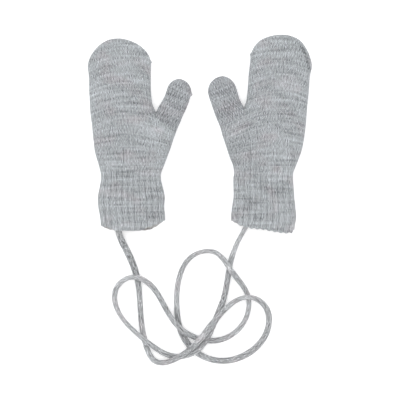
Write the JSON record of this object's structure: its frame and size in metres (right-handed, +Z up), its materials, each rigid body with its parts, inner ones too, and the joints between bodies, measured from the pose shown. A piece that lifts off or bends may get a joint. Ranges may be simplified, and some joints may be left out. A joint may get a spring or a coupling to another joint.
{
  "type": "pair of mittens on a cord",
  "caption": "Flat-laid pair of knitted mittens with ribbed cuffs, hollow inside, joined by one long knitted cord that lies in loose crossing loops.",
  "frame": {"origin": "on the surface, under the middle of the two mittens' box, without the cord", "axes": "+X across the pair towards the right-hand mitten, +Y from the cuffs towards the fingertips, +Z up from the surface"},
  "size_m": [0.1795, 0.2647, 0.0133],
  "materials": {
    "cuff_rib": "heathered grey knitted rib, matt",
    "hand_knit": "heathered grey stocking stitch, matt",
    "thumb_knit": "heathered grey stocking stitch, matt",
    "cord_knit": "heathered grey knitted cord, matt"
  },
  "bodies": {
    "root": {"left_cuff": "cuff_rib", "left_hand": "hand_knit", "left_thumb": "thumb_knit", "right_cuff": "cuff_rib", "right_hand": "hand_knit", "right_thumb": "thumb_knit", "cord": "cord_knit"}
  },
  "joints": []
}
